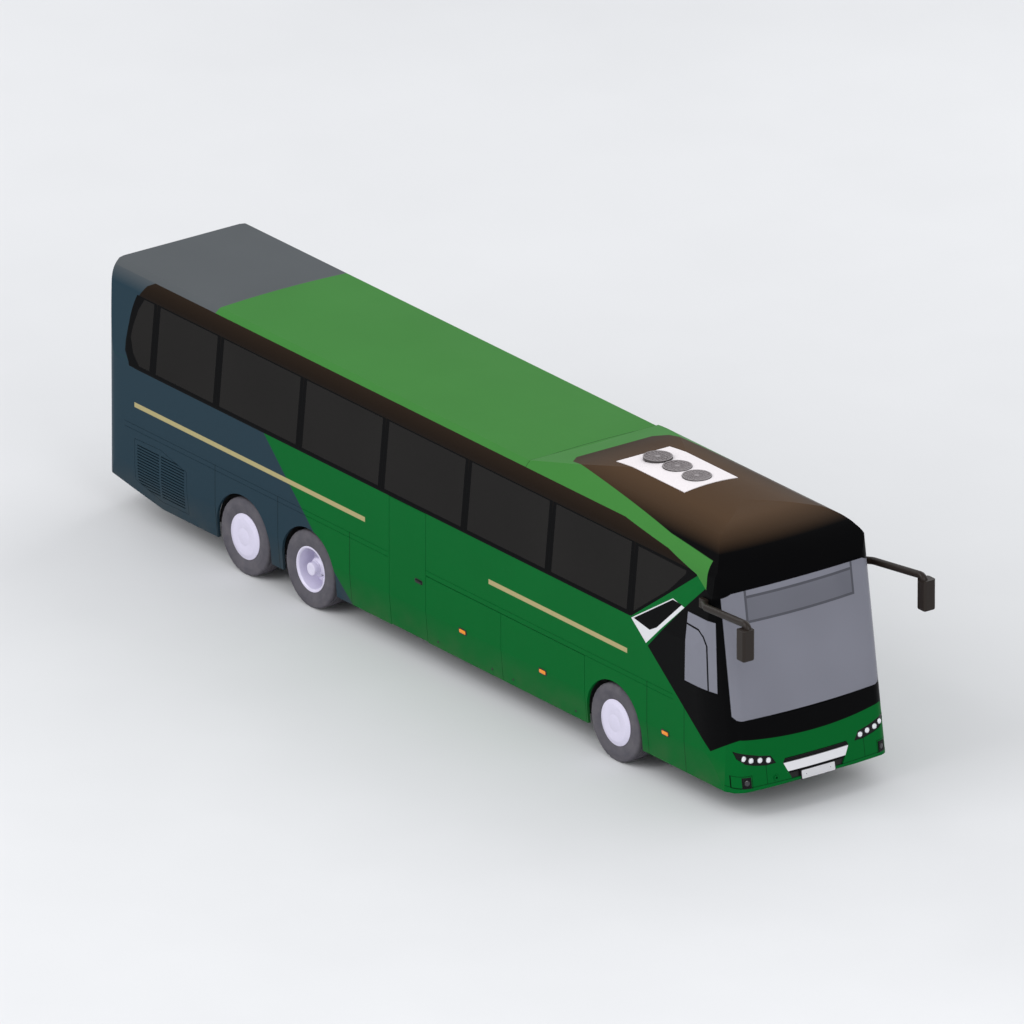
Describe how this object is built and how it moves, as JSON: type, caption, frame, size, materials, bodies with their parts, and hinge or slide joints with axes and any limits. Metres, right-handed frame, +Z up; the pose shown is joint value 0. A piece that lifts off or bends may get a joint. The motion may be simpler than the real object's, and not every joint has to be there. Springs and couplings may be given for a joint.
{
  "type": "three-axle coach bus",
  "caption": "High-floor touring coach on a single front axle and a rear tandem, with steering, turning wheels, doors and luggage flaps.",
  "frame": {"origin": "on the road, under the middle of the bus with its mirrors", "axes": "+X to the nose, +Y to the left side, +Z up"},
  "size_m": [14.085, 3.04, 3.616],
  "materials": {
    "body_paint": "deep gloss green with a slate blue tail",
    "gloss_black": "gloss black",
    "window_glass": "light smoke glass with a black border",
    "tinted_glass": "dark privacy glass",
    "white_panel": "satin white",
    "lamp_glass": "clear lamp cover",
    "bright_trim": "polished",
    "black_plastic": "grained",
    "seat_fabric": "woven moquette",
    "floor_covering": "studded",
    "chassis_paint": "satin black",
    "cast_iron": "raw",
    "steel": "satin",
    "tyre_rubber": "road tyre",
    "wheel_steel": "silver paint"
  },
  "bodies": {
    "bus": {"side_frame_right": "body_paint", "side_frame_left": "body_paint", "skirt_right": "body_paint", "skirt_left": "body_paint", "roof_skin": "body_paint", "roof_dome": "gloss_black", "front_mask": "body_paint", "front_bumper": "body_paint", "rear_wall": "body_paint", "rear_bumper": "body_paint", "windscreen": "window_glass", "side_glass": "tinted_glass", "rear_glass": "tinted_glass", "roof_unit": "white_panel", "front_lamps": "lamp_glass", "tail_lamps": "lamp_glass", "front_grille": "bright_trim", "mirrors": "black_plastic", "dashboard": "black_plastic", "driver_seat": "seat_fabric", "passenger_seats": "seat_fabric", "saloon_floor": "floor_covering", "stairwells": "floor_covering", "luggage_bay": "chassis_paint", "underframe": "chassis_paint", "arch_liners": "black_plastic", "engine_block": "cast_iron", "front_axle": "chassis_paint", "drive_axle": "chassis_paint", "tag_axle": "chassis_paint"},
    "knuckle_right": {"knuckle_right": "cast_iron"},
    "knuckle_left": {"knuckle_left": "cast_iron"},
    "wheel_front_right": {"tyre_front_right": "tyre_rubber", "rim_front_right": "wheel_steel"},
    "wheel_front_left": {"tyre_front_left": "tyre_rubber", "rim_front_left": "wheel_steel"},
    "wheel_drive_right": {"tyre_drive_right": "tyre_rubber", "rim_drive_right": "wheel_steel"},
    "wheel_drive_left": {"tyre_drive_left": "tyre_rubber", "rim_drive_left": "wheel_steel"},
    "wheel_tag_right": {"tyre_tag_right": "tyre_rubber", "rim_tag_right": "wheel_steel"},
    "wheel_tag_left": {"tyre_tag_left": "tyre_rubber", "rim_tag_left": "wheel_steel"},
    "door_arm": {"door_arm": "steel"},
    "entrance_door": {"entrance_door": "body_paint", "entrance_glass": "window_glass"},
    "middle_door": {"middle_door": "body_paint"},
    "flap_right_rear": {"flap_right_rear": "body_paint"},
    "flap_right_front": {"flap_right_front": "body_paint"},
    "flap_left_rear": {"flap_left_rear": "body_paint"},
    "flap_left_front": {"flap_left_front": "body_paint"},
    "radiator_flap": {"radiator_flap": "body_paint"},
    "engine_flap": {"engine_flap": "body_paint"}
  },
  "joints": [
    {"name": "steer_right", "type": "hinge", "parent": "bus", "child": "knuckle_right", "pos_m": [3.975, -0.94, 0.522], "axis": [0, 0, 1], "range_deg": [-42, 42]},
    {"name": "steer_left", "type": "hinge", "parent": "bus", "child": "knuckle_left", "pos_m": [3.975, 0.94, 0.522], "axis": [0, 0, 1], "range_deg": [-42, 42]},
    {"name": "spin_front_right", "type": "hinge", "parent": "knuckle_right", "child": "wheel_front_right", "pos_m": [3.975, -1.105, 0.522], "axis": [0, 1, 0], "continuous": true},
    {"name": "spin_front_left", "type": "hinge", "parent": "knuckle_left", "child": "wheel_front_left", "pos_m": [3.975, 1.105, 0.522], "axis": [0, 1, 0], "continuous": true},
    {"name": "spin_drive_right", "type": "hinge", "parent": "bus", "child": "wheel_drive_right", "pos_m": [-2.515, -1.105, 0.522], "axis": [0, 1, 0], "continuous": true},
    {"name": "spin_drive_left", "type": "hinge", "parent": "bus", "child": "wheel_drive_left", "pos_m": [-2.515, 1.105, 0.522], "axis": [0, 1, 0], "continuous": true},
    {"name": "spin_tag_right", "type": "hinge", "parent": "bus", "child": "wheel_tag_right", "pos_m": [-3.915, -1.105, 0.522], "axis": [0, 1, 0], "continuous": true},
    {"name": "spin_tag_left", "type": "hinge", "parent": "bus", "child": "wheel_tag_left", "pos_m": [-3.915, 1.105, 0.522], "axis": [0, 1, 0], "continuous": true},
    {"name": "door_swing", "type": "hinge", "parent": "bus", "child": "door_arm", "pos_m": [5.64, 1.105, 1.35], "axis": [0, 0, 1], "range_deg": [-130, 0]},
    {"name": "door_leaf", "type": "hinge", "parent": "door_arm", "child": "entrance_door", "pos_m": [5.08, 1.105, 1.35], "axis": [0, 0, 1], "range_deg": [0, 130]},
    {"name": "middle_door_hinge", "type": "hinge", "parent": "bus", "child": "middle_door", "pos_m": [0.005, -1.275, 1.2], "axis": [0, 0, 1], "range_deg": [0, 88]},
    {"name": "flap_right_rear_hinge", "type": "hinge", "parent": "bus", "child": "flap_right_rear", "pos_m": [0.8065, -1.275, 1.25], "axis": [-1, 0, 0], "range_deg": [0, 80]},
    {"name": "flap_right_front_hinge", "type": "hinge", "parent": "bus", "child": "flap_right_front", "pos_m": [2.489, -1.275, 1.25], "axis": [-1, 0, 0], "range_deg": [0, 80]},
    {"name": "flap_left_rear_hinge", "type": "hinge", "parent": "bus", "child": "flap_left_rear", "pos_m": [0.8065, 1.275, 1.25], "axis": [1, 0, 0], "range_deg": [0, 80]},
    {"name": "flap_left_front_hinge", "type": "hinge", "parent": "bus", "child": "flap_left_front", "pos_m": [2.489, 1.275, 1.25], "axis": [1, 0, 0], "range_deg": [0, 80]},
    {"name": "radiator_flap_hinge", "type": "hinge", "parent": "bus", "child": "radiator_flap", "pos_m": [-5.11, -1.275, 0.8], "axis": [0, 0, 1], "range_deg": [0, 95]},
    {"name": "engine_flap_hinge", "type": "hinge", "parent": "bus", "child": "engine_flap", "pos_m": [-7.055, 0, 1.88], "axis": [0, 1, 0], "range_deg": [0, 75]}
  ],
  "couplings": [
    {"joint": "steer_left", "follows": "steer_right", "ratio": 1},
    {"joint": "door_leaf", "follows": "door_swing", "ratio": -1}
  ]
}
